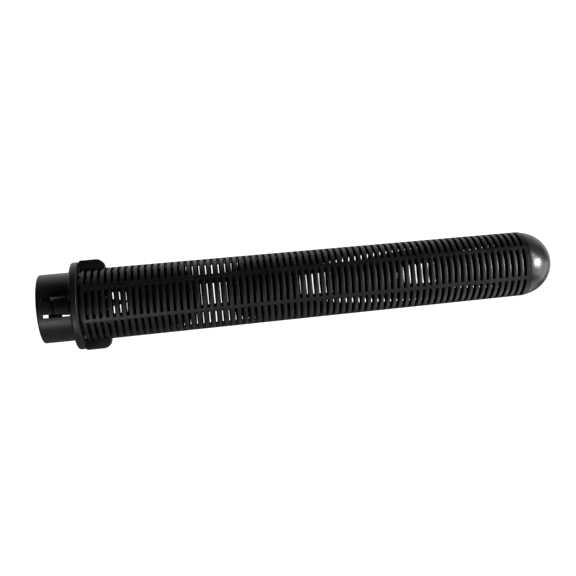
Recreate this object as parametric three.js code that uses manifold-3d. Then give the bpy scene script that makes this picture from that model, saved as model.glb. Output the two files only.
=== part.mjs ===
// Foot valve: a snap-in spigot with a stop disc, a slotted strainer tube with two finger wings,
// a domed end cap, and a spring-closed poppet valve in the neck. Units are millimetres.
// The axis is X: water leaves through the spigot at -X and the dome is at +X. +Z goes up
// through one finger wing. The origin is on the axis, in the plane of the disc's seating face.
import * as THREE from "three";
import { mergeVertices } from "three/addons/utils/BufferGeometryUtils.js";
import Module from "manifold-3d";

const wasm = await Module();
wasm.setup();

// ---- Driving dimensions ----
const GAP = 0.3; // clearance between neighbouring pieces

// Spigot: the tube that snaps into the suction pipe's socket
const SPIGOT_R = 24.0;
const SPIGOT_BORE_R = 21.0;
const SPIGOT_LENGTH = 23.2;
const RIM_CHAMFER = 0.5;

// Stop disc and the neck that carries the strainer
const DISC_R = 30.6;
const DISC_THICKNESS = 5.0;
const DISC_CHAMFER = 1.0;
const NECK_R = 21.2;
const NECK_END = 20.0;
const CHAMBER_R = 20.0;
const LIP_R = 17.0;
const LIP_START = 5.5;
const POCKET_R = 18.2;
const POCKET_START = 7.0;

// Snap tongues, one on each side of the spigot, between pairs of axial slots
const TONGUE_HALF_WIDTH = 4.77;
const TONGUE_SLOT = 2.2;
const TONGUE_WINDOW = [-19.2, -0.2]; // ends of the slots along X
const BARB = { foot: -12.2, crest: -10.8, back: -1.0, height: 1.6 };
// A thin web shuts the outer part of one slot beside each tongue, half a turn apart
const WEB = { end: -13.3, innerR: 21.0, outerR: 22.2, fromAngle: 69.5, toAngle: 76.0 };

// Strainer tube: six bars join rings that are separated by rows of tapering slots
const STRAINER_START = 6.9;
const STRAINER_END = 320.0;
const STRAINER_WALL = 3.0;
const SLOT_ROWS = 68;
const SLOT_PITCH = 4.56;
const FIRST_SLOT = 10.4;
const FIRST_SLOT_R = 25.0; // outer radius at the first slot
const TAPER = 0.0061; // loss of radius per millimetre towards the dome
const SLOT_HALF_OUTSIDE = 1.03;
const SLOT_HALF_INSIDE = 0.4;
// The top and bottom bars, and two on each side: half widths in degrees at the outer and inner face
const SPINE_BAR = { outside: 3.4, inside: 18.7 };
const SIDE_BAR = { outside: 3.3, inside: 6.8 };
const SIDE_BAR_OFFSET = 28.3; // degrees above and below the middle of a side
const NECK_SOCKET_END = 22.0; // the broad inner faces of the top and bottom bars clear the neck up to here
const BARS = [
  { angle: 0, ...SPINE_BAR },
  { angle: 90 - SIDE_BAR_OFFSET, ...SIDE_BAR },
  { angle: 90 + SIDE_BAR_OFFSET, ...SIDE_BAR },
  { angle: 180, ...SPINE_BAR },
  { angle: 270 - SIDE_BAR_OFFSET, ...SIDE_BAR },
  { angle: 270 + SIDE_BAR_OFFSET, ...SIDE_BAR },
];

// Finger wings behind the disc
const WING_TOP = 31.4;
const WING_ROOT = 22.8;
const WING_END = 23.0;
const WING_CORNER_R = 6.2;
const WING_THICKNESS = 7.0;

// Bayonet: lugs inside the strainer's first ring run in channels round the neck
const LUGS = 3;
const LUG_HALF_ANGLE = 6.0;
const LUG_TIP_R = 20.4;
const LUG_SPAN = [7.1, 9.1];
const CHANNEL_R = 20.1;
const CHANNEL_SPAN = [6.8, 9.4];
const CHANNEL_MARGIN = 1.2; // degrees of free play at a lug's sides
const TWIST = 30.0; // degrees from locked to released

// Domed end cap
const DOME_CENTRE = 317.9;
const DOME_R = 22.8;
const DOME_LENGTH = 23.7;
const DOME_WALL = 2.5;
const SKIRT = { start: 308.4, outerR: 18.7, innerR: 16.8 };
const CAP_WEB = 2.6;

// Valve seat with its three-arm guide
const SEAT = { start: 7.3, end: 11.2, outerR: 17.9, openingR: 13.5 };
const SEAT_GROOVE = { start: 8.2, end: 10.6, bottomR: 15.6 };
const HUB = { start: 8.6, end: 12.6, outerR: 5.4, boreR: 3.9 };
const ARMS = 3;
const ARM_WIDTH = 2.6;
const O_RING = { radius: 16.85, wireR: 0.9 };
const CIRCLIP = { start: 11.8, end: 12.8, innerR: 16.9, outerR: 18.9, openAngle: 40 };
const CIRCLIP_GROOVE_R = 19.2;
const BUSH = { boreR: 2.56, outerR: 3.6, flangeR: 6.4, flangeThickness: 0.8 };

// Poppet, its seal and the spring stack on the stem
const STEM = { start: -3.4, shoulder: 8.6, taper: 27.0, end: 36.0, thinR: 1.6, guideR: 2.5, tipR: 0.9 };
const POPPET = { start: 1.5, end: 4.3, radius: 15.8, bossR: 8.6, bossEnd: 7.0 };
const SEAL = { start: 4.6, end: 7.0, innerR: 9.0, outerR: 16.2 };
const RETAINER = { start: 7.3, end: 8.3, radius: 12.4 };
const CLAMP_WASHER = { start: 0.2, end: 1.2, radius: 5.0 };
const CLAMP_NUT = { start: -2.6, end: -0.1, acrossFlats: 7.0 };
const THIN_HOLE_R = STEM.thinR + GAP;
const GUIDE_HOLE_R = STEM.guideR + GAP;
const SPRING = { length: 6.4, wireR: 0.4, wideR: 5.6, narrowR: 3.6, turns: 3.5 };
const SPRING_WASHER = { thickness: 0.8, radius: 5.0 };
const LOCK_NUT = { thickness: 2.4, acrossFlats: 8.0 };

const ROUND = 40; // sides of a large circle
const SMALL_ROUND = 20;

// ---- Materials ----
const finish = (color, roughness, metalness = 0) =>
  new THREE.MeshStandardMaterial({ color, roughness, metalness });
const satinPlastic = () => finish(0x1b1b1c, 0.42);
const mattPlastic = () => finish(0x101011, 0.6);
const glossPlastic = () => finish(0x202021, 0.22);
const rubber = () => finish(0x0c0c0c, 0.8);
const acetal = () => finish(0x26272a, 0.35);
const steel = () => finish(0x8f9194, 0.3, 1);

// ---- Helpers ----
const radians = THREE.MathUtils.degToRad;

function toSolid(geometry) {
  geometry.deleteAttribute("normal");
  geometry.deleteAttribute("uv");
  const merged = mergeVertices(geometry, 1e-4);
  return new wasm.Manifold(new wasm.Mesh({
    numProp: 3,
    vertProperties: new Float32Array(merged.attributes.position.array),
    triVerts: new Uint32Array(merged.index.array),
  }));
}

function toGeometry(solid) {
  const mesh = solid.getMesh();
  const geometry = new THREE.BufferGeometry();
  geometry.setAttribute("position", new THREE.BufferAttribute(mesh.vertProperties, 3));
  geometry.setIndex(new THREE.BufferAttribute(mesh.triVerts, 1));
  geometry.computeVertexNormals();
  return geometry;
}

// Turns a profile of [x, radius] points round the X axis: outside wall towards +X, then back inside.
function revolve(profile, sides = ROUND) {
  const points = profile.map(([x, radius]) => new THREE.Vector2(radius, x));
  return new THREE.LatheGeometry(points, sides).rotateZ(-Math.PI / 2);
}

function ring(start, end, innerR, outerR, sides = ROUND) {
  return revolve([[start, outerR], [end, outerR], [end, innerR], [start, innerR], [start, outerR]], sides);
}

function extrudeAlongX(shape, start, end) {
  const basis = new THREE.Matrix4().makeBasis(
    new THREE.Vector3(0, 1, 0), new THREE.Vector3(0, 0, 1), new THREE.Vector3(1, 0, 0));
  const geometry = new THREE.ExtrudeGeometry(shape, { depth: end - start, bevelEnabled: false });
  return geometry.applyMatrix4(basis).translate(start, 0, 0);
}

// Extrudes a shape drawn in X and Z to both sides of the XZ plane.
function extrudeAcross(shape, thickness) {
  const geometry = new THREE.ExtrudeGeometry(shape, { depth: thickness, bevelEnabled: false });
  return geometry.rotateX(Math.PI / 2).translate(0, thickness / 2, 0);
}

function box(x, y, z) {
  return new THREE.BoxGeometry(x[1] - x[0], y[1] - y[0], z[1] - z[0])
    .translate((x[0] + x[1]) / 2, (y[0] + y[1]) / 2, (z[0] + z[1]) / 2);
}

// Direction at an angle, in degrees, from +Z towards -Y: the turn of a right-hand rotation about +X.
function around(angle, radius) {
  return [-radius * Math.sin(radians(angle)), radius * Math.cos(radians(angle))];
}

// Part of a ring between two angles, for lugs, channels and the circlip.
function arcSegment(fromAngle, toAngle, innerR, outerR, start, end, steps) {
  const shape = new THREE.Shape();
  const angles = Array.from({ length: steps + 1 }, (_, i) => fromAngle + ((toAngle - fromAngle) * i) / steps);
  angles.forEach((angle, i) => {
    const [y, z] = around(angle, outerR);
    if (i === 0) shape.moveTo(y, z);
    else shape.lineTo(y, z);
  });
  angles.reverse().forEach((angle) => shape.lineTo(...around(angle, innerR)));
  shape.closePath();
  return extrudeAlongX(shape, start, end);
}

function hexNut(start, end, acrossFlats, holeR) {
  const shape = new THREE.Shape();
  const cornerR = acrossFlats / 2 / Math.cos(radians(30));
  for (let side = 0; side < 6; side++) {
    const [y, z] = around(60 * side, cornerR);
    if (side === 0) shape.moveTo(y, z);
    else shape.lineTo(y, z);
  }
  shape.closePath();
  shape.holes.push(new THREE.Path().absarc(0, 0, holeR, 0, 2 * Math.PI, true));
  return extrudeAlongX(shape, start, end);
}

// ---- Body: spigot, disc and neck ----
function bayonetChannels() {
  const halfWidth = LUG_HALF_ANGLE + CHANNEL_MARGIN;
  const outside = NECK_R + 1;
  return Array.from({ length: LUGS }, (_, i) => (360 / LUGS) * i).flatMap((angle) => [
    arcSegment(angle - halfWidth, angle + TWIST + halfWidth, CHANNEL_R, outside, ...CHANNEL_SPAN, 6),
    arcSegment(angle + TWIST - halfWidth, angle + TWIST + halfWidth, CHANNEL_R, outside,
      CHANNEL_SPAN[0], NECK_END + 1, 2),
  ]);
}

function spigotBody() {
  const rim = -SPIGOT_LENGTH;
  let solid = toSolid(revolve([
    [rim, SPIGOT_R - RIM_CHAMFER],
    [rim + RIM_CHAMFER, SPIGOT_R],
    [0, SPIGOT_R],
    [0, DISC_R - DISC_CHAMFER],
    [DISC_CHAMFER, DISC_R],
    [DISC_THICKNESS - DISC_CHAMFER, DISC_R],
    [DISC_THICKNESS, DISC_R - DISC_CHAMFER],
    [DISC_THICKNESS, NECK_R],
    [NECK_END, NECK_R],
    [NECK_END, POCKET_R],
    [CIRCLIP.end + GAP, POCKET_R],
    [CIRCLIP.end + GAP, CIRCLIP_GROOVE_R],
    [CIRCLIP.start - GAP, CIRCLIP_GROOVE_R],
    [CIRCLIP.start - GAP, POCKET_R],
    [POCKET_START, POCKET_R],
    [POCKET_START, LIP_R],
    [LIP_START, LIP_R],
    [LIP_START, CHAMBER_R],
    [0, CHAMBER_R],
    [CHAMBER_R - SPIGOT_BORE_R, SPIGOT_BORE_R],
    [rim + RIM_CHAMFER, SPIGOT_BORE_R],
    [rim, SPIGOT_BORE_R + RIM_CHAMFER],
    [rim, SPIGOT_R - RIM_CHAMFER],
  ]));
  const windowHalf = TONGUE_HALF_WIDTH + TONGUE_SLOT;
  for (const side of [[-SPIGOT_R - 1, -CHAMBER_R + 2], [CHAMBER_R - 2, SPIGOT_R + 1]]) {
    solid = solid.subtract(toSolid(box(TONGUE_WINDOW, side, [-windowHalf, windowHalf])));
  }
  for (const turn of [0, 180]) {
    const [from, to] = [WEB.fromAngle + turn, WEB.toAngle + turn];
    solid = solid.add(toSolid(arcSegment(from, to, WEB.innerR, WEB.outerR, TONGUE_WINDOW[0] - GAP, WEB.end, 1)));
  }
  for (const channel of bayonetChannels()) solid = solid.subtract(toSolid(channel));
  return toGeometry(solid);
}

// A strip of the spigot's wall with a ramped barb. side is -1 for the front and 1 for the rear.
function latchTongue(side) {
  const [start, end] = [TONGUE_WINDOW[0] + GAP, TONGUE_WINDOW[1] - GAP];
  const crestR = SPIGOT_R + BARB.height;
  const wall = toSolid(revolve([
    [start, SPIGOT_R],
    [BARB.foot, SPIGOT_R],
    [BARB.crest, crestR],
    [BARB.back, crestR],
    [BARB.back, SPIGOT_R],
    [end, SPIGOT_R],
    [end, SPIGOT_BORE_R],
    [start, SPIGOT_BORE_R],
    [start, SPIGOT_R],
  ], 2 * ROUND));
  const across = side < 0 ? [-crestR - 1, 0] : [0, crestR + 1];
  const strip = box([start - 1, end + 1], across, [-TONGUE_HALF_WIDTH, TONGUE_HALF_WIDTH]);
  return toGeometry(wall.intersect(toSolid(strip)));
}

// ---- Strainer ----
const strainerR = (x) => FIRST_SLOT_R - TAPER * (x - FIRST_SLOT);

// The slotted tube as a grid of rings and bars, with quads left out at each window.
function slottedTube() {
  const stations = [{ outside: STRAINER_START, inside: STRAINER_START }];
  for (let row = 0; row < SLOT_ROWS; row++) {
    const middle = FIRST_SLOT + SLOT_PITCH * row;
    stations.push({ outside: middle - SLOT_HALF_OUTSIDE, inside: middle - SLOT_HALF_INSIDE });
    stations.push({ outside: middle + SLOT_HALF_OUTSIDE, inside: middle + SLOT_HALF_INSIDE });
  }
  stations.push({ outside: STRAINER_END, inside: STRAINER_END });

  const rays = [];
  BARS.forEach((bar, i) => {
    const next = i + 1 < BARS.length ? BARS[i + 1] : { ...BARS[0], angle: 360 };
    const first = { outside: bar.angle + bar.outside, inside: bar.angle + bar.inside };
    const last = { outside: next.angle - next.outside, inside: next.angle - next.inside };
    const middle = { outside: (first.outside + last.outside) / 2, inside: (first.inside + last.inside) / 2 };
    rays.push(first, middle, last);
  });

  const positions = [];
  for (const station of stations) {
    for (const ray of rays) {
      positions.push(station.outside, ...around(ray.outside, strainerR(station.outside)));
      positions.push(station.inside, ...around(ray.inside, strainerR(station.inside) - STRAINER_WALL));
    }
  }
  const outer = (i, j) => 2 * (i * rays.length + (j % rays.length));
  const inner = (i, j) => outer(i, j) + 1;
  const lastCell = stations.length - 2;
  const isSolid = (i, j) => i >= 0 && i <= lastCell && (i % 2 === 0 || (j + rays.length) % 3 === 2);

  const indices = [];
  const quad = (a, b, c, d) => indices.push(a, b, c, a, c, d);
  for (let i = 0; i <= lastCell; i++) {
    for (let j = 0; j < rays.length; j++) {
      if (!isSolid(i, j)) continue;
      quad(outer(i, j), outer(i, j + 1), outer(i + 1, j + 1), outer(i + 1, j));
      quad(inner(i, j), inner(i + 1, j), inner(i + 1, j + 1), inner(i, j + 1));
      if (!isSolid(i - 1, j)) quad(outer(i, j + 1), outer(i, j), inner(i, j), inner(i, j + 1));
      if (!isSolid(i + 1, j)) quad(outer(i + 1, j), outer(i + 1, j + 1), inner(i + 1, j + 1), inner(i + 1, j));
      if (!isSolid(i, j - 1)) quad(outer(i, j), outer(i + 1, j), inner(i + 1, j), inner(i, j));
      if (!isSolid(i, j + 1)) quad(outer(i + 1, j + 1), outer(i, j + 1), inner(i, j + 1), inner(i + 1, j + 1));
    }
  }
  const geometry = new THREE.BufferGeometry();
  geometry.setAttribute("position", new THREE.Float32BufferAttribute(positions, 3));
  geometry.setIndex(indices);
  return geometry;
}

// A flat wing on one side of the tube: up is 1 for the top wing and -1 for the bottom one.
function wing(up) {
  const start = DISC_THICKNESS + GAP;
  const shape = new THREE.Shape();
  shape.moveTo(start, WING_ROOT);
  shape.lineTo(WING_END, WING_ROOT);
  shape.lineTo(WING_END, WING_TOP - WING_CORNER_R);
  shape.absarc(WING_END - WING_CORNER_R, WING_TOP - WING_CORNER_R, WING_CORNER_R, 0, Math.PI / 2, false);
  shape.lineTo(start, WING_TOP);
  shape.closePath();
  const geometry = extrudeAcross(shape, WING_THICKNESS);
  return up > 0 ? geometry : geometry.rotateX(Math.PI);
}

function strainerBarrel() {
  const neckSocket = ring(STRAINER_START - 1, NECK_SOCKET_END, CHAMBER_R, NECK_R + GAP);
  let solid = toSolid(slottedTube()).subtract(toSolid(neckSocket));
  solid = solid.add(toSolid(wing(1))).add(toSolid(wing(-1)));
  for (let i = 0; i < LUGS; i++) {
    const angle = (360 / LUGS) * i;
    const rootR = strainerR(LUG_SPAN[0]) - STRAINER_WALL / 2;
    const lug = arcSegment(angle - LUG_HALF_ANGLE, angle + LUG_HALF_ANGLE, LUG_TIP_R, rootR, ...LUG_SPAN, 2);
    solid = solid.add(toSolid(lug));
  }
  return toGeometry(solid);
}

function ellipseArc(length, radius, fromX, steps) {
  const first = Math.acos((fromX - DOME_CENTRE) / length);
  return Array.from({ length: steps + 1 }, (_, i) => {
    const angle = first * (1 - i / steps);
    return [DOME_CENTRE + length * Math.cos(angle), i === steps ? 0 : radius * Math.sin(angle)];
  });
}

function endCap() {
  const base = STRAINER_END + GAP;
  const outside = ellipseArc(DOME_LENGTH, DOME_R, base, 9);
  const inside = ellipseArc(DOME_LENGTH - DOME_WALL, DOME_R - DOME_WALL, base + CAP_WEB, 7).reverse();
  return revolve([
    ...inside,
    [base + CAP_WEB, SKIRT.innerR],
    [SKIRT.start, SKIRT.innerR],
    [SKIRT.start, SKIRT.outerR],
    [base, SKIRT.outerR],
    ...outside,
  ], 36);
}

// ---- Valve seat ----
function seatRing() {
  const seat = toSolid(revolve([
    [SEAT.start, SEAT.outerR],
    [SEAT_GROOVE.start, SEAT.outerR],
    [SEAT_GROOVE.start, SEAT_GROOVE.bottomR],
    [SEAT_GROOVE.end, SEAT_GROOVE.bottomR],
    [SEAT_GROOVE.end, SEAT.outerR],
    [SEAT.end, SEAT.outerR],
    [SEAT.end, SEAT.openingR],
    [SEAT.start, SEAT.openingR],
    [SEAT.start, SEAT.outerR],
  ]));
  let solid = seat.add(toSolid(ring(HUB.start, HUB.end, HUB.boreR, HUB.outerR, SMALL_ROUND)));
  for (let i = 0; i < ARMS; i++) {
    const arm = box([HUB.start, SEAT.end], [-ARM_WIDTH / 2, ARM_WIDTH / 2], [HUB.boreR + 0.7, SEAT.openingR + 1]);
    solid = solid.add(toSolid(arm.rotateX(radians((360 / ARMS) * i + 60))));
  }
  return toGeometry(solid);
}

function seatORing() {
  const middle = (SEAT_GROOVE.start + SEAT_GROOVE.end) / 2;
  return new THREE.TorusGeometry(O_RING.radius, O_RING.wireR, 8, 36).rotateY(Math.PI / 2).translate(middle, 0, 0);
}

function seatRetainingRing() {
  const half = CIRCLIP.openAngle / 2;
  return arcSegment(half, 360 - half, CIRCLIP.innerR, CIRCLIP.outerR, CIRCLIP.start, CIRCLIP.end, 32);
}

const BUSH_FLANGE_START = HUB.end + GAP;
const BUSH_END = BUSH_FLANGE_START + BUSH.flangeThickness;

function stemBush() {
  return revolve([
    [HUB.start + GAP, BUSH.outerR],
    [BUSH_FLANGE_START, BUSH.outerR],
    [BUSH_FLANGE_START, BUSH.flangeR],
    [BUSH_END, BUSH.flangeR],
    [BUSH_END, BUSH.boreR],
    [HUB.start + GAP, BUSH.boreR],
    [HUB.start + GAP, BUSH.outerR],
  ], SMALL_ROUND);
}

// ---- Poppet and spring stack ----
const SPRING_START = BUSH_END + GAP;
const SPRING_WASHER_START = SPRING_START + SPRING.length + GAP;
const LOCK_NUT_START = SPRING_WASHER_START + SPRING_WASHER.thickness + GAP;

function poppetStem() {
  return revolve([
    [STEM.start, 0],
    [STEM.start, STEM.thinR],
    [STEM.shoulder, STEM.thinR],
    [STEM.shoulder, STEM.guideR],
    [STEM.taper, STEM.guideR],
    [STEM.end, STEM.tipR],
    [STEM.end, 0],
  ], SMALL_ROUND);
}

function poppetDisc() {
  return revolve([
    [POPPET.start, POPPET.radius - 1],
    [POPPET.start + 1, POPPET.radius],
    [POPPET.end, POPPET.radius],
    [POPPET.end, POPPET.bossR],
    [POPPET.bossEnd, POPPET.bossR],
    [POPPET.bossEnd, THIN_HOLE_R],
    [POPPET.start, THIN_HOLE_R],
    [POPPET.start, POPPET.radius - 1],
  ], 36);
}

class ConicalHelix extends THREE.Curve {
  getPoint(t, target = new THREE.Vector3()) {
    const radius = SPRING.wideR + (SPRING.narrowR - SPRING.wideR) * t;
    const [y, z] = around(360 * SPRING.turns * t, radius);
    const run = SPRING.length - 2 * SPRING.wireR;
    return target.set(SPRING_START + SPRING.wireR + run * t, y, z);
  }
}

function returnSpring() {
  const section = new THREE.Shape().absarc(0, 0, SPRING.wireR, 0, 2 * Math.PI, false);
  const steps = Math.round(14 * SPRING.turns);
  const options = { steps, curveSegments: 6, bevelEnabled: false, extrudePath: new ConicalHelix() };
  return new THREE.ExtrudeGeometry(section, options);
}

// ---- Assembly ----
const object = new THREE.Group();

function place(name, geometry, material) {
  const mesh = new THREE.Mesh(geometry, material);
  mesh.name = name;
  object.add(mesh);
}

place("spigot_body", spigotBody(), satinPlastic());
place("latch_tongue_front", latchTongue(-1), satinPlastic());
place("latch_tongue_rear", latchTongue(1), satinPlastic());
place("strainer_barrel", strainerBarrel(), mattPlastic());
place("end_cap", endCap(), glossPlastic());
place("seat_ring", seatRing(), acetal());
place("seat_o_ring", seatORing(), rubber());
place("seat_retaining_ring", seatRetainingRing(), steel());
place("stem_bush", stemBush(), acetal());
place("poppet_stem", poppetStem(), steel());
place("poppet_disc", poppetDisc(), acetal());
place("poppet_seal", ring(SEAL.start, SEAL.end, SEAL.innerR, SEAL.outerR, 36), rubber());
place("seal_retainer", ring(RETAINER.start, RETAINER.end, THIN_HOLE_R, RETAINER.radius, 28), steel());
place("poppet_washer", ring(CLAMP_WASHER.start, CLAMP_WASHER.end, THIN_HOLE_R, CLAMP_WASHER.radius, SMALL_ROUND),
  steel());
place("poppet_nut", hexNut(CLAMP_NUT.start, CLAMP_NUT.end, CLAMP_NUT.acrossFlats, THIN_HOLE_R), steel());
place("return_spring", returnSpring(), steel());
place("spring_washer", ring(SPRING_WASHER_START, SPRING_WASHER_START + SPRING_WASHER.thickness, GUIDE_HOLE_R,
  SPRING_WASHER.radius, SMALL_ROUND), steel());
place("stem_lock_nut", hexNut(LOCK_NUT_START, LOCK_NUT_START + LOCK_NUT.thickness, LOCK_NUT.acrossFlats,
  GUIDE_HOLE_R), steel());

export default object;
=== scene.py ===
# Looks for the foot valve: fine meshes, moulded plastic, rubber and steel, a white studio, the camera.
# Everything is in metres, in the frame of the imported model. The valve's axis is X, from the spigot
# at -X to the dome at +X, and +Z goes up through a finger wing. Angles round the axis are in degrees
# from +Z towards -Y, so 90 faces the camera.
import math

import bmesh
import bpy
from mathutils import Matrix, Vector


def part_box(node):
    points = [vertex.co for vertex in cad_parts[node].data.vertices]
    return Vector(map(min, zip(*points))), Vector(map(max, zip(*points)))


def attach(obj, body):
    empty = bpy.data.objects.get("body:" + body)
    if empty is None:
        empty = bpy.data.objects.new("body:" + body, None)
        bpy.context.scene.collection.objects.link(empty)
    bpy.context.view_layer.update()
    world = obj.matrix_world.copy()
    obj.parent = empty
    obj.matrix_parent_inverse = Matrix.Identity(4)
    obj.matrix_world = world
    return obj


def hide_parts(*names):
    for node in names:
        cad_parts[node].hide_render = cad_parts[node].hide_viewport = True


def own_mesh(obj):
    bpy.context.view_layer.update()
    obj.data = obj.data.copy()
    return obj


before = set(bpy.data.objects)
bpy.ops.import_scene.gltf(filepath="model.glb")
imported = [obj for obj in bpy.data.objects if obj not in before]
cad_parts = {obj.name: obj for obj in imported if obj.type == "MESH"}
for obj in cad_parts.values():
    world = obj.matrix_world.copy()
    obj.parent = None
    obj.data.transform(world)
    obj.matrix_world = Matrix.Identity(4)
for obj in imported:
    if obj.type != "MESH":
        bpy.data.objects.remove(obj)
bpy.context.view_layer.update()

MM = 0.001

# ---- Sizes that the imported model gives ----
spigot_low, spigot_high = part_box("spigot_body")
strainer_low, strainer_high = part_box("strainer_barrel")
cap_low, cap_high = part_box("end_cap")
spring_low, spring_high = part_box("return_spring")
RIM_X = spigot_low.x
DISC_R = spigot_high.z
NECK_END = spigot_high.x
WING_START = strainer_low.x
WING_TOP = strainer_high.z
TUBE_END = strainer_high.x
APEX_X = cap_high.x

# ---- Sizes repeated from the design, in metres ----
GAP = 0.3 * MM
SPIGOT_R = 24.0 * MM
BORE_R = 21.0 * MM
DISC_THICKNESS = 5.0 * MM
NECK_R = 21.2 * MM
CHAMBER_R = 20.0 * MM
POCKET_R = 18.2 * MM
LIP_R = 17.0 * MM
WINDOW_X = (-19.2 * MM, -0.2 * MM)
TONGUE_HALF = 4.77 * MM
WINDOW_HALF = TONGUE_HALF + 2.2 * MM
WEB_END = -13.3 * MM
TUBE_START = 6.9 * MM
TUBE_WALL = 3.0 * MM
FIRST_SLOT = 10.4 * MM
FIRST_SLOT_R = 25.0 * MM
TAPER = 0.0061
SLOT_ROWS = 68
SLOT_PITCH = 4.56 * MM
SLOT_HALF_OUTSIDE = 1.03 * MM
SLOT_HALF_INSIDE = 0.36 * MM
SPINE_HALF_DEG = (3.4, 18.7)  # half widths of the top and bottom bars, outside and inside
SIDE_HALF_DEG = (3.3, 6.8)
SIDE_BAR_OFFSET = 28.3  # degrees above and below the middle of each side
DOME_CENTRE = 317.9 * MM
DOME_R = 22.8 * MM
DOME_WALL = 2.5 * MM
SKIRT_R = 18.7 * MM
SKIRT_BORE_R = 16.8 * MM

FINE = 128  # sides of a large round
MEDIUM = 64  # sides of a small round


# ---- Mesh helpers ----
def polar(x, radius, angle):
    """The point at a place along the axis, a radius and an angle round the axis."""
    turn = math.radians(angle)
    return (x, -radius * math.sin(turn), radius * math.cos(turn))


SHARP_DEG = 38.0  # edges sharper than this stay crisp


def mesh_object(name, vertices, faces, sharp=SHARP_DEG):
    """A closed mesh with outward faces, smooth except at edges sharper than the angle given."""
    mesh = bpy.data.meshes.new(name)
    mesh.from_pydata(vertices, [], faces)
    work = bmesh.new()
    work.from_mesh(mesh)
    bmesh.ops.remove_doubles(work, verts=work.verts, dist=1e-7)
    bmesh.ops.dissolve_degenerate(work, edges=work.edges, dist=1e-8)
    bmesh.ops.recalc_face_normals(work, faces=work.faces)
    work.to_mesh(mesh)
    work.free()
    mesh.shade_smooth()
    mesh.set_sharp_from_angle(angle=math.radians(sharp))
    made = bpy.data.objects.new(name, mesh)
    bpy.context.scene.collection.objects.link(made)
    return made


def apply_modifiers(made):
    """Makes the result of the modifiers the mesh itself."""
    depsgraph = bpy.context.evaluated_depsgraph_get()
    made.data = bpy.data.meshes.new_from_object(made.evaluated_get(depsgraph))
    made.modifiers.clear()
    made.data.shade_smooth()
    made.data.set_sharp_from_angle(angle=math.radians(SHARP_DEG))
    return made


def soften(made, width, segments=2, angle=40.0):
    """Rounds every edge that is sharper than an angle."""
    bevel = made.modifiers.new("soft_edges", "BEVEL")
    bevel.width = width
    bevel.segments = segments
    bevel.limit_method = "ANGLE"
    bevel.angle_limit = math.radians(angle)
    return apply_modifiers(made)


def join_meshes(name, parts):
    """One object from several closed meshes, which are removed."""
    work = bmesh.new()
    for part in parts:
        work.from_mesh(part.data)
    mesh = bpy.data.meshes.new(name)
    work.to_mesh(mesh)
    work.free()
    for part in parts:
        bpy.data.objects.remove(part)
    mesh.shade_smooth()
    mesh.set_sharp_from_angle(angle=math.radians(SHARP_DEG))
    made = bpy.data.objects.new(name, mesh)
    bpy.context.scene.collection.objects.link(made)
    return made


def rounded(corners, closed=True, steps=5):
    """A profile of (x, radius) points from corners (x, radius, fillet), with an arc at each fillet."""
    count = len(corners)
    points = []
    for i, (x, radius, fillet) in enumerate(corners):
        at_end = not closed and i in (0, count - 1)
        if fillet <= 0 or at_end:
            points.append((x, radius))
            continue
        corner = Vector((x, radius))
        before = (Vector(corners[i - 1][:2]) - corner).normalized()
        after = (Vector(corners[(i + 1) % count][:2]) - corner).normalized()
        half = before.angle(after) / 2
        reach = fillet / math.tan(half)
        centre = corner + (before + after).normalized() * fillet / math.sin(half)
        first = corner + before * reach - centre
        last = corner + after * reach - centre
        sweep = first.angle_signed(last)
        for step in range(steps + 1):
            turn = -sweep * step / steps
            spoke = Vector((
                first.x * math.cos(turn) - first.y * math.sin(turn),
                first.x * math.sin(turn) + first.y * math.cos(turn),
            ))
            points.append(tuple(centre + spoke))
    return points


def revolve(name, profile, sides=FINE, closed=True):
    """A profile of (x, radius) points turned round the axis. An open profile starts and ends on the axis."""
    rings = []
    vertices = []
    for x, radius in profile:
        if radius < 1e-9:
            rings.append([len(vertices)] * sides)
            vertices.append((x, 0.0, 0.0))
        else:
            rings.append(list(range(len(vertices), len(vertices) + sides)))
            vertices += [polar(x, radius, 360.0 * side / sides) for side in range(sides)]
    pairs = list(zip(rings, rings[1:] + rings[:1] if closed else rings[1:]))
    faces = []
    for low, high in pairs:
        for side in range(sides):
            following = (side + 1) % sides
            corners = [low[side], low[following], high[following], high[side]]
            face = list(dict.fromkeys(corners))
            if len(face) > 2:
                faces.append(face)
    return mesh_object(name, vertices, faces)


def window_wall(window, stations, rays, skins, edge, vertices):
    """The faces of one window: a rounded outer edge, then straight walls down to the inner skin."""
    outer, inner = skins
    turn = len(rays)
    i0, i1, j0, j1 = window
    loop = [(i0, j) for j in range(j0, j1)] + [(i, j1) for i in range(i0, i1)]
    loop += [(i1, j) for j in range(j1, j0, -1)] + [(i, j0) for i in range(i1, i0, -1)]
    rings = [[outer[i, j % turn] for i, j in loop]]
    for lean in (math.radians(45.0), math.radians(90.0)):
        inward, depth = edge * math.sin(lean), edge * (1 - math.cos(lean))
        ring = []
        for i, j in loop:
            x, radius = stations[i][:2]
            along = (i == i0) - (i == i1)
            across = (j == j0) - (j == j1)
            angle = rays[j % turn][0] + across * math.degrees(inward / radius)
            ring.append(len(vertices))
            vertices.append(polar(x + along * inward, radius - depth, angle))
        rings.append(ring)
    rings.append([inner[i, j % turn] for i, j in loop])
    faces = []
    for near, far in zip(rings, rings[1:]):
        for n in range(len(loop)):
            m = (n + 1) % len(loop)
            faces.append((near[n], far[n], far[m], near[m]))
    return faces


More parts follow.
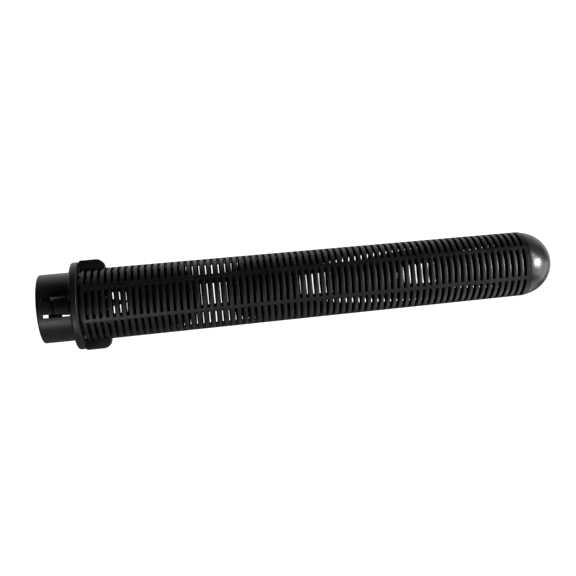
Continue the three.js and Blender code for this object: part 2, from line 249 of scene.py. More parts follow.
def lattice(name, stations, rays, windows=(), edge=0.0, closed=True):
    """A wall with an outer and an inner skin, and rounded windows through it.

    stations are (outer x, outer radius, inner x, inner radius) along the axis, and rays are
    (outer angle, inner angle) round it. windows are (first station, last, first ray, last), and edge
    is the rounding of their outer edges. The wall goes all the way round if closed is true.
    """
    vertices = []
    outer, inner = {}, {}
    for i, (x_out, r_out, x_in, r_in) in enumerate(stations):
        for j, (a_out, a_in) in enumerate(rays):
            outer[i, j] = len(vertices)
            inner[i, j] = len(vertices) + 1
            vertices += [polar(x_out, r_out, a_out), polar(x_in, r_in, a_in)]
    turn, last = len(rays), len(stations) - 1
    neighbours = [(j, (j + 1) % turn) for j in range(turn if closed else turn - 1)]
    open_cells = {(i, j) for i0, i1, j0, j1 in windows for i in range(i0, i1) for j in range(j0, j1)}
    faces = []
    for i in range(last):
        for j, k in neighbours:
            if (i, j) not in open_cells:
                faces.append((outer[i, j], outer[i, k], outer[i + 1, k], outer[i + 1, j]))
                faces.append((inner[i, j], inner[i + 1, j], inner[i + 1, k], inner[i, k]))
    for i in (0, last):
        faces += [(outer[i, j], inner[i, j], inner[i, k], outer[i, k]) for j, k in neighbours]
    if not closed:
        for j in (0, turn - 1):
            faces += [(outer[i, j], outer[i + 1, j], inner[i + 1, j], inner[i, j]) for i in range(last)]
    for window in windows:
        faces += window_wall(window, stations, rays, (outer, inner), edge, vertices)
    return mesh_object(name, vertices, faces)


def prism(name, outline, thickness):
    """An outline of (x, z) points extruded to both sides of the XZ plane."""
    count = len(outline)
    vertices = [(x, side * thickness / 2, z) for side in (-1, 1) for x, z in outline]
    faces = [tuple(range(count)), tuple(range(2 * count - 1, count - 1, -1))]
    faces += [(i, (i + 1) % count, count + (i + 1) % count, count + i) for i in range(count)]
    return mesh_object(name, vertices, faces)


def arc_block(name, from_angle, to_angle, inner_r, outer_r, start, end, steps=6):
    """A block of a ring, between two angles and two places along the axis."""
    rays = [(from_angle + (to_angle - from_angle) * i / steps,) * 2 for i in range(steps + 1)]
    stations = [(x, outer_r, x, inner_r) for x in (start, end)]
    return lattice(name, stations, rays, closed=False)


def cut(made, cutter):
    """Cuts one mesh out of another."""
    boolean = made.modifiers.new("cut", "BOOLEAN")
    boolean.operation = "DIFFERENCE"
    boolean.solver = "EXACT"
    boolean.object = cutter
    apply_modifiers(made)
    bpy.data.objects.remove(cutter)
    return made


# ---- Materials ----
class Nodes:
    """A small help for building node materials."""

    def __init__(self, name):
        self.material = bpy.data.materials.new(name)
        self.material.use_nodes = True
        self.tree = self.material.node_tree
        self.shader = self.tree.nodes["Principled BSDF"]
        self.place = self.tree.nodes.new("ShaderNodeTexCoord").outputs["Object"]

    def link(self, source, target):
        self.tree.links.new(source, target)

    def noise(self, scale, detail, stretch=(1, 1, 1)):
        mapping = self.tree.nodes.new("ShaderNodeMapping")
        mapping.inputs["Scale"].default_value = stretch
        self.link(self.place, mapping.inputs["Vector"])
        noise = self.tree.nodes.new("ShaderNodeTexNoise")
        noise.inputs["Scale"].default_value = scale
        noise.inputs["Detail"].default_value = detail
        self.link(mapping.outputs["Vector"], noise.inputs["Vector"])
        return noise.outputs["Fac"]

    def remap(self, value, low, high, from_low=0.3, from_high=0.7):
        node = self.tree.nodes.new("ShaderNodeMapRange")
        node.inputs["From Min"].default_value = from_low
        node.inputs["From Max"].default_value = from_high
        node.inputs["To Min"].default_value = low
        node.inputs["To Max"].default_value = high
        self.link(value, node.inputs["Value"])
        return node.outputs["Result"]

    def colours(self, value, dark, light):
        ramp = self.tree.nodes.new("ShaderNodeValToRGB")
        ramp.color_ramp.elements[0].position = 0.3
        ramp.color_ramp.elements[0].color = (*dark, 1)
        ramp.color_ramp.elements[1].position = 0.7
        ramp.color_ramp.elements[1].color = (*light, 1)
        self.link(value, ramp.inputs["Fac"])
        return ramp.outputs["Color"]

    def mix_colour(self, amount, first, second):
        mix = self.tree.nodes.new("ShaderNodeMix")
        mix.data_type = "RGBA"
        self.link(amount, mix.inputs["Factor"])
        self.link(first, mix.inputs["A"])
        self.link(second, mix.inputs["B"])
        return mix.outputs["Result"]

    def add(self, first, second):
        node = self.tree.nodes.new("ShaderNodeMath")
        node.operation = "ADD"
        self.link(first, node.inputs[0])
        self.link(second, node.inputs[1])
        return node.outputs["Value"]

    def facing_along(self):
        """How much a face looks along the axis: 0 for the outside of a tube, 1 for its end."""
        normal = self.tree.nodes.new("ShaderNodeTexCoord").outputs["Normal"]
        parts = self.tree.nodes.new("ShaderNodeSeparateXYZ")
        self.link(normal, parts.inputs["Vector"])
        size = self.tree.nodes.new("ShaderNodeMath")
        size.operation = "ABSOLUTE"
        self.link(parts.outputs["X"], size.inputs[0])
        return size.outputs["Value"]

    def bump(self, height, distance):
        node = self.tree.nodes.new("ShaderNodeBump")
        node.inputs["Distance"].default_value = distance
        self.link(height, node.inputs["Height"])
        self.link(node.outputs["Normal"], self.shader.inputs["Normal"])


def moulded_plastic(name, tone, roughness, grain, scuffs, painted_wall_shade=False):
    """Black moulded plastic: fine grain, cloudy gloss, faint lengthways drag marks and a little dust.

    The last argument takes the shine off faces that look along the axis, painting shade onto the slot walls."""
    nodes = Nodes(name)
    cloud = nodes.noise(60.0, 4.0)
    drag = nodes.noise(900.0, 3.0, stretch=(0.06, 1, 1))
    speck = nodes.noise(2600.0, 2.0)
    base = nodes.colours(cloud, [0.8 * c for c in tone], [1.2 * c for c in tone])
    dusty = nodes.colours(speck, [1.1 * c for c in tone], [1.9 * c + 0.002 for c in tone])
    dust_amount = nodes.remap(nodes.noise(140.0, 5.0), 0.0, 0.7, 0.52, 0.75)
    nodes.link(nodes.mix_colour(dust_amount, base, dusty), nodes.shader.inputs["Base Color"])
    gloss = nodes.remap(cloud, roughness - 0.05, roughness + 0.05)
    marks = nodes.remap(drag, 0.0, scuffs, 0.45, 0.8)
    nodes.link(nodes.add(gloss, marks), nodes.shader.inputs["Roughness"])
    # Painted shade: a lower specular level on faces that look along the axis darkens the slot walls.
    if painted_wall_shade:
        shine = nodes.remap(nodes.facing_along(), 0.5, 0.02, 0.25, 0.85)
        nodes.link(shine, nodes.shader.inputs["Specular IOR Level"])
    nodes.bump(nodes.add(nodes.noise(3500.0, 2.0), nodes.noise(500.0, 3.0)), grain)
    return nodes.material


def seal_rubber():
    """Matt black nitrile rubber with a faint bloom."""
    nodes = Nodes("nitrile_rubber")
    bloom = nodes.noise(180.0, 5.0)
    colour = nodes.colours(bloom, (0.010, 0.010, 0.010), (0.022, 0.022, 0.023))
    nodes.link(colour, nodes.shader.inputs["Base Color"])
    nodes.link(nodes.remap(bloom, 0.55, 0.75), nodes.shader.inputs["Roughness"])
    nodes.bump(nodes.noise(4000.0, 3.0), 0.01 * MM)
    return nodes.material


def turned_steel():
    """Stainless steel with fine marks round the axis."""
    nodes = Nodes("stainless_steel")
    marks = nodes.noise(3000.0, 3.0, stretch=(1, 0.05, 0.05))
    stain = nodes.noise(120.0, 5.0)
    colour = nodes.colours(stain, (0.40, 0.41, 0.43), (0.55, 0.56, 0.58))
    nodes.link(colour, nodes.shader.inputs["Base Color"])
    nodes.shader.inputs["Metallic"].default_value = 1.0
    nodes.link(nodes.remap(marks, 0.22, 0.42), nodes.shader.inputs["Roughness"])
    nodes.bump(marks, 0.008 * MM)
    return nodes.material


SATIN = moulded_plastic("satin_black_plastic", (0.006, 0.006, 0.0062), 0.36, 0.012 * MM, 0.10)
# The strainer's slot walls get painted shade.
MATT = moulded_plastic("strainer_black_plastic", (0.004, 0.004, 0.0042), 0.40, 0.016 * MM, 0.08,
                       painted_wall_shade=True)
GLOSS = moulded_plastic("glossy_black_plastic", (0.012, 0.012, 0.0125), 0.26, 0.004 * MM, 0.06)
VALVE = moulded_plastic("valve_black_plastic", (0.022, 0.022, 0.024), 0.32, 0.006 * MM, 0.06)
RUBBER = seal_rubber()
STEEL = turned_steel()


def settle(made, body, slot, material, *nodes):
    """Gives a piece its body and its finish, and hides the CAD nodes that it stands for."""
    made.data.materials.clear()
    made.data.materials.append(material)
    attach(made, body)
    if nodes:
        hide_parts(*nodes)
    return made


# ---- Strainer tube: rings and bars between rows of tapering slots ----
def tube_r(x):
    """The tube's outer radius, which shrinks towards the dome."""
    return FIRST_SLOT_R - TAPER * (x - FIRST_SLOT)


def tube_stations(edge):
    """Places along the tube: its rounded ends, and both sides of every row of slots."""
    stations = []
    for x, inset in ((TUBE_START, edge), (TUBE_START + edge, 0.0)):
        stations.append((x, tube_r(x) - inset, x, tube_r(x) - TUBE_WALL + inset))
    for row in range(SLOT_ROWS):
        middle = FIRST_SLOT + SLOT_PITCH * row
        for side in (-1, 1):
            x_out = middle + side * (SLOT_HALF_OUTSIDE + edge)
            x_in = middle + side * SLOT_HALF_INSIDE
            stations.append((x_out, tube_r(x_out), x_in, tube_r(x_in) - TUBE_WALL))
    for x, inset in ((TUBE_END - edge, 0.0), (TUBE_END, edge)):
        stations.append((x, tube_r(x) - inset, x, tube_r(x) - TUBE_WALL + inset))
    return stations


def tube_rays(edge, slot_cells):
    """Angles round the tube: across each slot between two bars, and down the middle of each bar."""
    edge_deg = math.degrees(edge / FIRST_SLOT_R)
    bars = [(0.0, SPINE_HALF_DEG), (180.0, SPINE_HALF_DEG)]
    bars += [(side + sign * SIDE_BAR_OFFSET, SIDE_HALF_DEG) for side in (90.0, 270.0) for sign in (-1, 1)]
    bars.sort()
    bars.append((360.0, SPINE_HALF_DEG))
    rays = []
    for (angle, half), (next_angle, next_half) in zip(bars, bars[1:]):
        starts = (angle + half[0] - edge_deg, angle + half[1])
        ends = (next_angle - next_half[0] + edge_deg, next_angle - next_half[1])
        for cell in range(slot_cells + 1):
            share = cell / slot_cells
            rays.append(tuple(start + share * (end - start) for start, end in zip(starts, ends)))
        rays.append((next_angle, next_angle))
    return rays


def strainer_tube():
    """The slotted tube. Every row has six slots, one between each two bars."""
    edge, slot_cells, bar_cells, slots_in_row = 0.3 * MM, 10, 2, 6
    step = slot_cells + bar_cells
    windows = [
        (2 + 2 * row, 3 + 2 * row, step * n, step * n + slot_cells)
        for row in range(SLOT_ROWS) for n in range(slots_in_row)
    ]
    return lattice("strainer_tube", tube_stations(edge), tube_rays(edge, slot_cells), windows, edge)


def finger_wing(name, up):
    """A flat grip behind the stop disc, rounded at its far corner. up is 1 for the top one, -1 below."""
    root, end, corner, near_corner = 22.6 * MM, 23.0 * MM, 6.2 * MM, 0.7 * MM
    outline = [(WING_START, root), (end, root)]
    for centre_x, radius, first in ((end - corner, corner, 0), (WING_START + near_corner, near_corner, 90)):
        for step in range(13):
            turn = math.radians(first + 90.0 * step / 12)
            outline.append((centre_x + radius * math.cos(turn), WING_TOP - radius + radius * math.sin(turn)))
    made = prism(name, [(x, up * z) for x, z in outline], 7.0 * MM)
    return soften(made, 0.6 * MM, 3, angle=50.0)


settle(strainer_tube(), "strainer", "strainer", MATT, "strainer_barrel")
for wing_name, wing_up in (("finger_wing_top", 1), ("finger_wing_bottom", -1)):
    settle(finger_wing(wing_name, wing_up), "strainer", "strainer", MATT)

LUG_HALF_DEG = 6.0
for lug in range(3):
    lug_angle = 120.0 * lug
    lug_block = arc_block(
        f"bayonet_lug_{lug + 1}", lug_angle - LUG_HALF_DEG, lug_angle + LUG_HALF_DEG,
        20.4 * MM, 23.5 * MM, 7.1 * MM, 9.1 * MM)
    settle(soften(lug_block, 0.2 * MM), "strainer", "strainer", MATT)


# ---- Domed end cap ----
def dome_arc(length, radius, from_x, steps):
    """Points of the dome's curve from a place along the axis to the apex."""
    first = math.acos((from_x - DOME_CENTRE) / length)
    return [
        (DOME_CENTRE + length * math.cos(first * (1 - i / steps)), radius * math.sin(first * (1 - i / steps)))
        for i in range(steps + 1)
    ]


def end_cap():
    """The dome with its skirt, which sits inside the tube's end behind a fine seam."""
    base, web = TUBE_END + GAP, 2.6 * MM
    length = APEX_X - DOME_CENTRE
    outside = dome_arc(length, DOME_R, base, 40)
    inside = dome_arc(length - DOME_WALL, DOME_R - DOME_WALL, base + web, 16)
    base_edge = rounded([
        (base, SKIRT_R, 0), (base, outside[0][1], 0.3 * MM), (*outside[2], 0)], closed=False)
    skirt = rounded([
        (base + web, SKIRT_BORE_R, 0), (cap_low.x, SKIRT_BORE_R, 0.4 * MM), (cap_low.x, SKIRT_R, 0.4 * MM),
        (base, SKIRT_R, 0)], closed=False)
    profile = [*reversed(inside), *skirt, *base_edge[1:], *outside[3:]]
    return revolve("dome_cap", [(x, max(r, 0.0)) for x, r in profile], closed=False)


settle(end_cap(), "strainer", "dome", GLOSS, "end_cap")


# ---- Spigot, stop disc and neck ----
def slot_ray(half_width, radius):
    """The angle that half a slot's straight width takes at a radius."""
    return math.degrees(math.asin(half_width / radius))


def spigot_tube():
    """The spigot's wall, with a window for a snap tongue on each side."""
    edge, rim = 0.35 * MM, 1.0 * MM
    stations = []
    for step in reversed(range(6)):
        lean = math.radians(90.0 * step / 5)
        x = RIM_X + rim * (1 - math.sin(lean))
        drop = rim * (1 - math.cos(lean))
        stations.append((x, SPIGOT_R - drop, x, BORE_R + drop))
    for x, side in zip(WINDOW_X, (-1, 1)):
        stations.append((x + side * edge, SPIGOT_R, x, BORE_R))
    stations.append((0.4 * MM, SPIGOT_R, 0.4 * MM, BORE_R))
    half_out = slot_ray(WINDOW_HALF + edge, SPIGOT_R)
    half_in = slot_ray(WINDOW_HALF, BORE_R)
    window_cells, wall_cells = 8, 28
    rays = []
    for middle in (90.0, 270.0):
        for cell in range(window_cells + 1):
            share = 2.0 * cell / window_cells - 1.0
            rays.append((middle + share * half_out, middle + share * half_in))
        for cell in range(1, wall_cells):
            share = cell / wall_cells
            rays.append((
                middle + half_out + share * (180.0 - 2 * half_out),
                middle + half_in + share * (180.0 - 2 * half_in)))
    first = len(stations) - 3
    turn = window_cells + wall_cells
    windows = [(first, first + 1, turn * n, turn * n + window_cells) for n in (0, 1)]
    return lattice("spigot_tube", stations, rays, windows, edge)


def disc_and_neck():
    """The stop disc, the valve chamber and the neck with its three bayonet channels."""
    groove_r = 19.2 * MM
    profile = rounded([
        (-1.0 * MM, BORE_R, 0),
        (-1.0 * MM, SPIGOT_R - 0.05 * MM, 0),
        (0.0, SPIGOT_R - 0.05 * MM, 0.6 * MM),
        (0.0, DISC_R, 1.4 * MM),
        (DISC_THICKNESS, DISC_R, 0.5 * MM),
        (DISC_THICKNESS, NECK_R, 0.4 * MM),
        (NECK_END, NECK_R, 0.5 * MM),
        (NECK_END, POCKET_R, 0.3 * MM),
        (13.1 * MM, POCKET_R, 0),
        (13.1 * MM, groove_r, 0),
        (11.5 * MM, groove_r, 0),
        (11.5 * MM, POCKET_R, 0),
        (7.0 * MM, POCKET_R, 0),
        (7.0 * MM, LIP_R, 0.3 * MM),
        (5.5 * MM, LIP_R, 0.3 * MM),
        (5.5 * MM, CHAMBER_R, 0.4 * MM),
        (0.0, CHAMBER_R, 0),
    ])
    made = revolve("stop_disc_and_neck", profile)
    half, twist, floor_r, outside = LUG_HALF_DEG + 1.2, 30.0, 20.1 * MM, NECK_R + 1.0 * MM
    for n in range(3):
        angle = 120.0 * n
        cut(made, arc_block("cutter", angle - half, angle + twist + half, floor_r, outside,
                            6.8 * MM, 9.4 * MM, 12))
        cut(made, arc_block("cutter", angle + twist - half, angle + twist + half, floor_r, outside,
                            9.2 * MM, NECK_END + 1.0 * MM, 6))
    return made


settle(spigot_tube(), "body", "satin_body", SATIN, "spigot_body")
settle(disc_and_neck(), "body", "satin_body", SATIN)


def slot_web(name, turn):
    """A thin web that closes the inner half of a slot's outer end, just clear of the tongue."""
    outer, side, root = 22.2 * MM, TONGUE_HALF + 0.03 * MM, 69.5
    ends = [90.0 - slot_ray(side, radius) for radius in (outer, BORE_R)]
    rays = [tuple(turn + root + share * (end - root) for end in ends) for share in (0.0, 0.5, 1.0)]
    stations = [(x, outer, x, BORE_R) for x in (WINDOW_X[0] - GAP, WEB_END)]
    return lattice(name, stations, rays, closed=False)


settle(slot_web("slot_web_front", 0.0), "body", "satin_body", SATIN)
settle(slot_web("slot_web_rear", 180.0), "body", "satin_body", SATIN)


# ---- Snap tongues ----
def snap_tongue(name, middle):
    """A strip of the spigot's wall with a shallow notch and a barb with a short ramp."""
    hairline = 0.02 * MM
    start, end = WINDOW_X[0] + hairline, WINDOW_X[1] - hairline
    crest = SPIGOT_R + 1.6 * MM
    outline = rounded([
        (start, SPIGOT_R, 0),
        (-12.9 * MM, SPIGOT_R, 0.15 * MM),
        (-12.9 * MM, SPIGOT_R - 0.8 * MM, 0.1 * MM),
        (-12.1 * MM, SPIGOT_R - 0.8 * MM, 0.1 * MM),
        (-12.1 * MM, SPIGOT_R, 0.1 * MM),
        (-10.8 * MM, crest, 0.5 * MM),
        (-1.0 * MM, crest, 0.35 * MM),
        (-1.0 * MM, SPIGOT_R, 0.2 * MM),
        (end, SPIGOT_R, 0),
    ], closed=False, steps=4)
    half_out, half_in = slot_ray(TONGUE_HALF, SPIGOT_R), slot_ray(TONGUE_HALF, BORE_R)
    cells = 10
    rays = [
        (middle + (2.0 * i / cells - 1.0) * half_out, middle + (2.0 * i / cells - 1.0) * half_in)
        for i in range(cells + 1)
    ]
    stations = [(x, r, start + (end - start) * n / (len(outline) - 1), BORE_R)
                for n, (x, r) in enumerate(outline)]
    return lattice(name, stations, rays, closed=False)


settle(snap_tongue("snap_tongue_front", 90.0), "front_latch", "satin_body", SATIN, "latch_tongue_front")
settle(snap_tongue("snap_tongue_rear", 270.0), "rear_latch", "satin_body", SATIN, "latch_tongue_rear")


# ---- Valve seat, its seals and clips ----
def washer(name, node, inner_r, fillet=0.2 * MM, sides=MEDIUM):
    """A flat ring with rounded edges that fills a CAD ring's box."""
    low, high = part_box(node)
    return revolve(name, rounded([
        (low.x, inner_r, fillet / 2), (low.x, high.z, fillet),
        (high.x, high.z, fillet), (high.x, inner_r, fillet / 2)]), sides)


def seat_ring():
    """The seat with its groove for the O-ring, and a hub on three arms that guides the stem."""
    low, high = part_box("seat_ring")
    outer_r, opening_r, groove_r = 17.9 * MM, 13.5 * MM, 15.6 * MM
    start, end = low.x, 11.2 * MM
    ring = revolve("ring", rounded([
        (start, opening_r, 0.5 * MM), (start, outer_r, 0.3 * MM), (8.2 * MM, outer_r, 0.1 * MM),
        (8.2 * MM, groove_r, 0.1 * MM), (10.6 * MM, groove_r, 0.1 * MM), (10.6 * MM, outer_r, 0.1 * MM),
        (end, outer_r, 0.2 * MM), (end, opening_r, 0.3 * MM)]))
    hub = revolve("hub", rounded([
        (8.6 * MM, 3.9 * MM, 0.2 * MM), (8.6 * MM, 5.4 * MM, 0.3 * MM),
        (high.x, 5.4 * MM, 0.3 * MM), (high.x, 3.9 * MM, 0.2 * MM)]), MEDIUM)
    arms = []
    for n in range(3):
        arm = prism("arm", [(8.6 * MM, 4.6 * MM), (end, 4.6 * MM), (end, 14.5 * MM), (8.6 * MM, 14.5 * MM)],
                    2.6 * MM)
        turn = math.radians(60.0 + 120.0 * n)
        for vertex in arm.data.vertices:
            x, y, z = vertex.co
            vertex.co = (x, y * math.cos(turn) - z * math.sin(turn), y * math.sin(turn) + z * math.cos(turn))
        arms.append(soften(arm, 0.35 * MM, 3))
    return join_meshes("valve_seat", [ring, hub, *arms])


def o_ring(name, node, section_r):
    """A ring of round section."""
    low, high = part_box(node)
    middle_x, middle_r = (low.x + high.x) / 2, high.z - section_r
    circle = [(middle_x + section_r * math.cos(t), middle_r + section_r * math.sin(t))
              for t in (2 * math.pi * i / 20 for i in range(20))]
    return revolve(name, circle)


def retaining_ring():
    """An internal circlip: an open ring with a drilled ear at each end."""
    low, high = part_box("seat_retaining_ring")
    half = 20.0
    rays = [(half + (360.0 - 2 * half) * i / 90,) * 2 for i in range(91)]
    ring = lattice("ring", [(x, 18.9 * MM, x, 16.9 * MM) for x in (low.x, high.x)], rays, closed=False)
    parts = [soften(ring, 0.12 * MM)]
    for angle in (half + 3.0, 360.0 - half - 3.0):
        ear = revolve("ear", rounded([
            (low.x, 0.7 * MM, 0.1 * MM), (low.x, 1.7 * MM, 0.15 * MM),
            (high.x, 1.7 * MM, 0.15 * MM), (high.x, 0.7 * MM, 0.1 * MM)]), 32)
        ear.data.transform(Matrix.Translation(polar(0.0, 16.6 * MM, angle)))
        parts.append(ear)
    return join_meshes("seat_circlip", parts)


def stem_bush():
    """A flanged bush in the seat's hub."""
    low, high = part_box("stem_bush")
    flange_r, flange_x = high.z, high.x - 0.8 * MM
    bore_r, sleeve_r = 2.56 * MM, 3.6 * MM
    return revolve("guide_bush", rounded([
        (low.x, bore_r, 0.15 * MM), (low.x, sleeve_r, 0.15 * MM), (flange_x, sleeve_r, 0.1 * MM),
        (flange_x, flange_r, 0.2 * MM), (high.x, flange_r, 0.25 * MM), (high.x, bore_r, 0.3 * MM)]), MEDIUM)


settle(seat_ring(), "body", "valve_plastic", VALVE, "seat_ring")
settle(o_ring("seat_seal_ring", "seat_o_ring", 0.9 * MM), "body", "seal_rubber", RUBBER, "seat_o_ring")
settle(retaining_ring(), "body", "steel", STEEL, "seat_retaining_ring")
settle(stem_bush(), "body", "valve_plastic", VALVE, "stem_bush")


# ---- Poppet and spring stack ----
def poppet_stem():
    """The stem, with a rolled thread under each nut and a long tapered tail."""
    low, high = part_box("poppet_stem")
    thin_r, guide_r, tip_r, shoulder, depth = 1.6 * MM, 2.5 * MM, 0.9 * MM, 8.6 * MM, 0.22 * MM
    profile = [(low.x, 0.0), (low.x, thin_r - 0.3 * MM)]
    turns, pitch = 16, 0.28 * MM
    for turn in range(turns):
        x = low.x + 0.3 * MM + 2 * pitch * turn
        profile += [(x, thin_r), (x + pitch, thin_r - depth)]
    profile += [(low.x + 0.3 * MM + 2 * pitch * turns, thin_r), (shoulder, thin_r), (shoulder, guide_r)]
    thread_start = 21.0 * MM
    profile.append((thread_start, guide_r))
    turns, pitch = 9, 0.3 * MM
    for turn in range(turns):
        x = thread_start + 0.2 * MM + 2 * pitch * turn
        profile += [(x, guide_r - depth), (x + pitch, guide_r)]
    profile += [(27.0 * MM, guide_r), (high.x - 0.5 * MM, tip_r + 0.05 * MM), (high.x, tip_r - 0.4 * MM)]
    profile.append((high.x, 0.0))
    return revolve("valve_stem", profile, 48, closed=False)


def poppet_disc():
    """The poppet, with a shallow ring recess in its face and a boss for the seal."""
    low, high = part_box("poppet_disc")
    hole_r, boss_r, back = 1.9 * MM, 8.6 * MM, 4.3 * MM
    return revolve("poppet", rounded([
        (low.x, hole_r, 0.1 * MM), (low.x, 6.4 * MM, 0.2 * MM), (low.x + 0.7 * MM, 7.1 * MM, 0.3 * MM),
        (low.x + 0.7 * MM, 12.6 * MM, 0.3 * MM), (low.x, 13.3 * MM, 0.2 * MM), (low.x, high.z, 1.0 * MM),
        (back, high.z, 0.3 * MM), (back, boss_r, 0.2 * MM), (high.x, boss_r, 0.3 * MM),
        (high.x, hole_r, 0.1 * MM)]))


def hex_nut(name, node, hole_r):
    """A hexagon nut with chamfered corners. Its flats face +Y and -Y, its corners +Z and -Z."""
    low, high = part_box(node)
    flats, chamfer, sides = (high.y - low.y) / 2, 0.45 * MM, 72

    def hexagon_r(angle):
        return flats / math.cos(math.radians((angle % 60.0) - 30.0))

    vertices, rings = [], []
    face_r = 0.98 * flats
    for x, limit in ((low.x, face_r), (low.x + chamfer, 2 * flats), (high.x - chamfer, 2 * flats),
                     (high.x, face_r)):
        rings.append(range(len(vertices), len(vertices) + sides))
        for side in range(sides):
            angle = 360.0 * side / sides
            vertices.append(polar(x, min(hexagon_r(angle), limit), angle))
    for x in (high.x, low.x):
        rings.append(range(len(vertices), len(vertices) + sides))
        vertices += [polar(x, hole_r, 360.0 * side / sides) for side in range(sides)]
    faces = []
    for near, far in zip(rings, rings[1:] + rings[:1]):
        for side in range(sides):
            following = (side + 1) % sides
            faces.append((near[side], near[following], far[following], far[side]))
    return mesh_object(name, vertices, faces, sharp=20.0)


def conical_spring():
    """A conical wire spring, wide at the bush and narrow at its washer."""
    wire_r, wide_r, narrow_r, turns = 0.4 * MM, 5.6 * MM, 3.6 * MM, 3.5
    steps, sides = 180, 14
    run = spring_high.x - spring_low.x - 2 * wire_r
    vertices = []
    for step in range(steps + 1):
        share = step / steps
        radius = wide_r + (narrow_r - wide_r) * share
        x = spring_low.x + wire_r + run * share
        for side in range(sides):
            lean = 2 * math.pi * side / sides
            vertices.append(polar(x + wire_r * math.cos(lean), radius + wire_r * math.sin(lean),
                                  360.0 * turns * share))
    faces = [tuple(range(sides)), tuple(range(steps * sides, (steps + 1) * sides))]
    for step in range(steps):
        for side in range(sides):
            following = (side + 1) % sides
            a, b = step * sides, (step + 1) * sides
            faces.append((a + side, a + following, b + following, b + side))
    return mesh_object("cone_spring", vertices, faces)


settle(poppet_stem(), "poppet", "steel", STEEL, "poppet_stem")
settle(poppet_disc(), "poppet", "valve_plastic", VALVE, "poppet_disc")
settle(washer("poppet_seal_ring", "poppet_seal", 9.0 * MM, 0.5 * MM, FINE),
       "poppet", "seal_rubber", RUBBER, "poppet_seal")
settle(washer("seal_clamp_plate", "seal_retainer", 1.9 * MM, 0.25 * MM, FINE),
       "poppet", "steel", STEEL, "seal_retainer")
settle(washer("clamp_washer", "poppet_washer", 1.9 * MM), "poppet", "steel", STEEL, "poppet_washer")
settle(hex_nut("clamp_nut", "poppet_nut", 1.62 * MM), "poppet", "steel", STEEL, "poppet_nut")
settle(washer("spring_cup_washer", "spring_washer", 2.8 * MM), "poppet", "steel", STEEL, "spring_washer")
settle(hex_nut("lock_nut", "stem_lock_nut", 2.52 * MM), "poppet", "steel", STEEL, "stem_lock_nut")

spring = settle(conical_spring(), "body", "steel", STEEL, "return_spring")
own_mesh(spring)


# ---- Studio ----
def seen_or_lit(tree, seen, lit):
    """Mix two shader outputs: seen is what the camera sees, lit is what everything else receives."""
    path = tree.nodes.new("ShaderNodeLightPath")
    mix = tree.nodes.new("ShaderNodeMixShader")
    tree.links.new(path.outputs["Is Camera Ray"], mix.inputs["Fac"])
    tree.links.new(lit, mix.inputs[1])
    tree.links.new(seen, mix.inputs[2])
    return mix.outputs["Shader"]


def floor(seen, lit):
    """A wide white floor below the valve, lit so that it runs into the white behind it."""
    half, front, back, z = 4.0, -1.5, 1.3, -0.75
    mesh = bpy.data.meshes.new("floor")
    corners = [(-half, front, z), (half, front, z), (half, back, z), (-half, back, z)]
    mesh.from_pydata(corners, [], [(0, 1, 2, 3)])
    sheet = bpy.data.objects.new("floor", mesh)
    bpy.context.scene.collection.objects.link(sheet)
    material = bpy.data.materials.new("pale_floor")
    material.use_nodes = True
    tree = material.node_tree
    glows = []
    for strength in (seen, lit):
        glow = tree.nodes.new("ShaderNodeEmission")
        glow.inputs["Strength"].default_value = strength
        glows.append(glow.outputs["Emission"])
    tree.links.new(seen_or_lit(tree, *glows), tree.nodes["Material Output"].inputs["Surface"])
    mesh.materials.append(material)


def studio_world():
    """White behind everything that the camera sees, and a dark room for the reflections."""
    world = bpy.data.worlds.new("studio")
    bpy.context.scene.world = world
    world.use_nodes = True
    tree = world.node_tree
    room = tree.nodes["Background"]
    room.inputs["Color"].default_value = (1, 1, 1, 1)
    room.inputs["Strength"].default_value = 0.004
    backdrop = tree.nodes.new("ShaderNodeBackground")
    backdrop.inputs["Strength"].default_value = 1.5
    output = seen_or_lit(tree, backdrop.outputs["Background"], room.outputs["Background"])
    tree.links.new(output, tree.nodes["World Output"].inputs["Surface"])


def panel(name, target, away, distance, size, radiance):
    """A rectangular soft light that faces a target, at a distance from it in a direction.

    radiance is its brightness, where 1 is the white of the paper."""
    light = bpy.data.lights.new(name, "AREA")
    light.shape = "RECTANGLE"
    light.size, light.size_y = size
    light.energy = radiance * math.pi * math.pi * size[0] * size[1]
    made = bpy.data.objects.new(name, light)
    made.location = Vector(target) + distance * Vector(away).normalized()
    made.rotation_euler = Vector(away).to_track_quat("Z", "Y").to_euler()
    made.visible_camera = False
    bpy.context.scene.collection.objects.link(made)


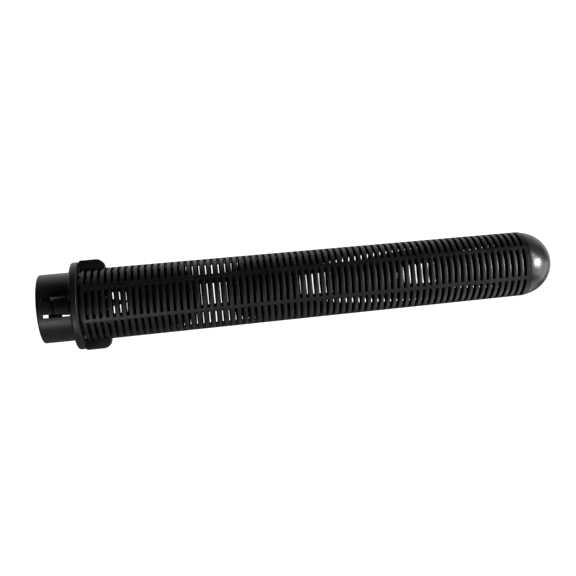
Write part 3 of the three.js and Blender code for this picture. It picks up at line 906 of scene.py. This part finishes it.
def camera():
    """Level with the valve's near side, a little below its axis, turned and rolled as the view asks."""
    distance, below, foot_x = 0.6472, 1.9, 96.43 * MM
    yaw, pitch, roll = 4.701, 1.758, -5.634
    data = bpy.data.cameras.new("camera")
    data.sensor_width = 36.0
    data.lens = 56.885
    made = bpy.data.objects.new("camera", data)
    drop = math.radians(below)
    made.location = (foot_x, -distance * math.cos(drop), -distance * math.sin(drop))
    forward = Vector((
        math.sin(math.radians(yaw)) * math.cos(math.radians(pitch)),
        math.cos(math.radians(yaw)) * math.cos(math.radians(pitch)),
        math.sin(math.radians(pitch))))
    turned = forward.to_track_quat("-Z", "Y").to_matrix().to_4x4()
    turned = turned @ Matrix.Rotation(math.radians(roll), 4, "Z")
    made.rotation_euler = turned.to_euler()
    bpy.context.scene.collection.objects.link(made)
    bpy.context.scene.camera = made


DOME_MIDDLE = (DOME_CENTRE, 0, 0)
TUBE_MIDDLE = (150.0 * MM, 0, 0)
SPIGOT_MIDDLE = (-12.0 * MM, 0, 0)
PANELS = (  # name, target, direction, distance, size, radiance
    ("back_panel", TUBE_MIDDLE, (0, 0.94, 0.34), 1.3, (5.0, 2.0), 0.27),
    ("top_panel", TUBE_MIDDLE, (0, 0.31, 0.95), 1.0, (3.0, 0.65), 0.18),
    ("front_strip", TUBE_MIDDLE, (0, -0.91, -0.42), 0.8, (1.6, 0.28), 0.18),
    ("left_card", SPIGOT_MIDDLE, (-0.175, -0.632, -0.755), 0.6, (0.22, 0.2), 1.2),
    ("right_panel", DOME_MIDDLE, (0.813, -0.578, -0.03), 0.55, (0.21, 0.19), 14.0),
    ("right_spot", DOME_MIDDLE, (0.637, -0.686, 0.334), 0.55, (0.08, 0.08), 8.0),
    ("right_skirt", DOME_MIDDLE, (0.95, -0.05, -0.30), 0.55, (0.50, 0.36), 0.7),
    ("right_fill", DOME_MIDDLE, (0.713, -0.54, -0.46), 0.55, (0.40, 0.26), 0.6),
    ("right_bounce", DOME_MIDDLE, (0.40, 0.22, -0.89), 0.55, (0.50, 0.44), 0.35),
)
floor(1.5, 0.2)
studio_world()
for light in PANELS:
    panel(*light)
camera()
bpy.context.scene.view_settings.view_transform = "Standard"
bpy.context.scene.view_settings.look = "None"
